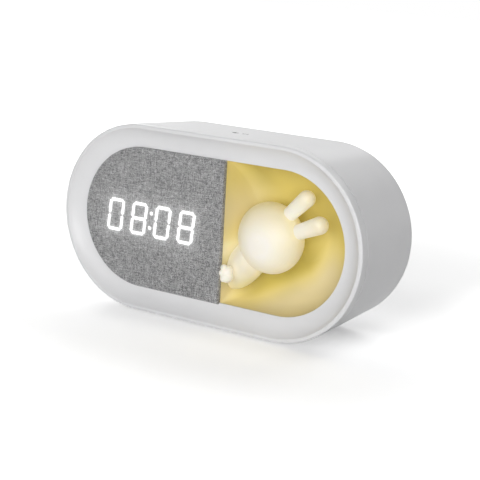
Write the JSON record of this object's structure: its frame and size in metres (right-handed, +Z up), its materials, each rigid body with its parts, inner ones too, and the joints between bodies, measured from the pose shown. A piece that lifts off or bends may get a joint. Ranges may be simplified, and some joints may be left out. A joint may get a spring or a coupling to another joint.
{
  "type": "kids alarm clock with night light",
  "caption": "Oblong white bedside alarm clock with a cloth-covered lit display and a yellow scoop holding a glowing rabbit night light.",
  "frame": {"origin": "middle of the body on the surface that its feet stand on", "axes": "+X to the right seen from the front, +Y towards the back, +Z up"},
  "size_m": [0.1868, 0.059, 0.1008],
  "materials": {
    "shell_white": "fine satin moulded ABS",
    "inner_plastic": "moulded ABS, plain inside finish",
    "cloth_grey": "heathered grey linen-look weave",
    "digit_light": "lit light bars",
    "reflector_white": "white reflector moulding",
    "circuit_green": "green solder mask",
    "lamp_board_white": "white solder mask",
    "scoop_yellow": "soft yellow moulded plastic",
    "rabbit_cream": "milky lit diffuser",
    "lamp_yellow": "phosphor of the light chips",
    "screw_steel": "zinc plated",
    "foot_rubber": "grey soft rubber",
    "mark_ink": "printed mark",
    "copper_foil": "copper foil",
    "black_plastic": "black moulded plastic and chip housings",
    "connector_cream": "nylon plug housings",
    "cell_wrap": "heat-shrink wrap",
    "nickel": "nickel strip",
    "lead_sleeve": "PVC sleeve",
    "ribbon_grey": "flat cable",
    "key_grey": "light grey moulded keys",
    "socket_steel": "stamped shell",
    "magnet_black": "ferrite magnet",
    "cone_paper": "pressed black paper cone",
    "gasket_foam": "closed-cell foam"
  },
  "bodies": {
    "clock": {"front_bezel": "shell_white", "front_frame": "inner_plastic", "front_screws": "screw_steel", "fabric_panel": "cloth_grey", "panel_carrier": "inner_plastic", "display_reflector": "reflector_white", "digit_segments": "digit_light", "colon_dots": "digit_light", "display_leds": "lamp_yellow", "display_board": "circuit_green", "display_screws": "screw_steel", "night_light_bowl": "scoop_yellow", "rabbit_head": "rabbit_cream", "rabbit_ears": "rabbit_cream", "rabbit_body": "rabbit_cream", "rabbit_foot": "rabbit_cream", "lamp_board": "lamp_board_white", "lamp_leds": "lamp_yellow", "lamp_screws": "screw_steel", "rear_casing": "shell_white", "rubber_feet": "foot_rubber", "touch_mark": "mark_ink", "touch_pad": "copper_foil", "touch_lead": "black_plastic", "battery_holder": "black_plastic", "battery_cell": "cell_wrap", "battery_contacts": "nickel", "battery_leads": "lead_sleeve", "holder_screws": "screw_steel", "rear_cover": "shell_white", "cover_screws": "screw_steel", "rear_board": "circuit_green", "board_screws": "screw_steel", "board_chips": "black_plastic", "board_connectors": "connector_cream", "key_switches": "black_plastic", "power_switch": "socket_steel", "usb_socket": "socket_steel", "speaker_frame": "socket_steel", "speaker_magnet": "magnet_black", "speaker_cone": "cone_paper", "speaker_gasket": "gasket_foam", "speaker_screws": "screw_steel", "speaker_leads": "lead_sleeve", "lamp_leads": "lead_sleeve", "display_ribbon": "ribbon_grey"},
    "set_key": {"key_set": "key_grey"},
    "up_key": {"key_up": "key_grey"},
    "down_key": {"key_down": "key_grey"},
    "alarm_key": {"key_alarm": "key_grey"},
    "power_knob": {"power_slider": "key_grey"}
  },
  "joints": [
    {"name": "set_press", "type": "slide", "parent": "clock", "child": "set_key", "axis": [0, -1, 0], "range_m": [0, 0.0005], "stiffness_N_per_m": 1500, "springref_m": -0.0003},
    {"name": "up_press", "type": "slide", "parent": "clock", "child": "up_key", "axis": [0, -1, 0], "range_m": [0, 0.0005], "stiffness_N_per_m": 1500, "springref_m": -0.0003},
    {"name": "down_press", "type": "slide", "parent": "clock", "child": "down_key", "axis": [0, -1, 0], "range_m": [0, 0.0005], "stiffness_N_per_m": 1500, "springref_m": -0.0003},
    {"name": "alarm_press", "type": "slide", "parent": "clock", "child": "alarm_key", "axis": [0, -1, 0], "range_m": [0, 0.0005], "stiffness_N_per_m": 1500, "springref_m": -0.0003},
    {"name": "power_slide", "type": "slide", "parent": "clock", "child": "power_knob", "axis": [1, 0, 0], "range_m": [0, 0.003]}
  ]
}
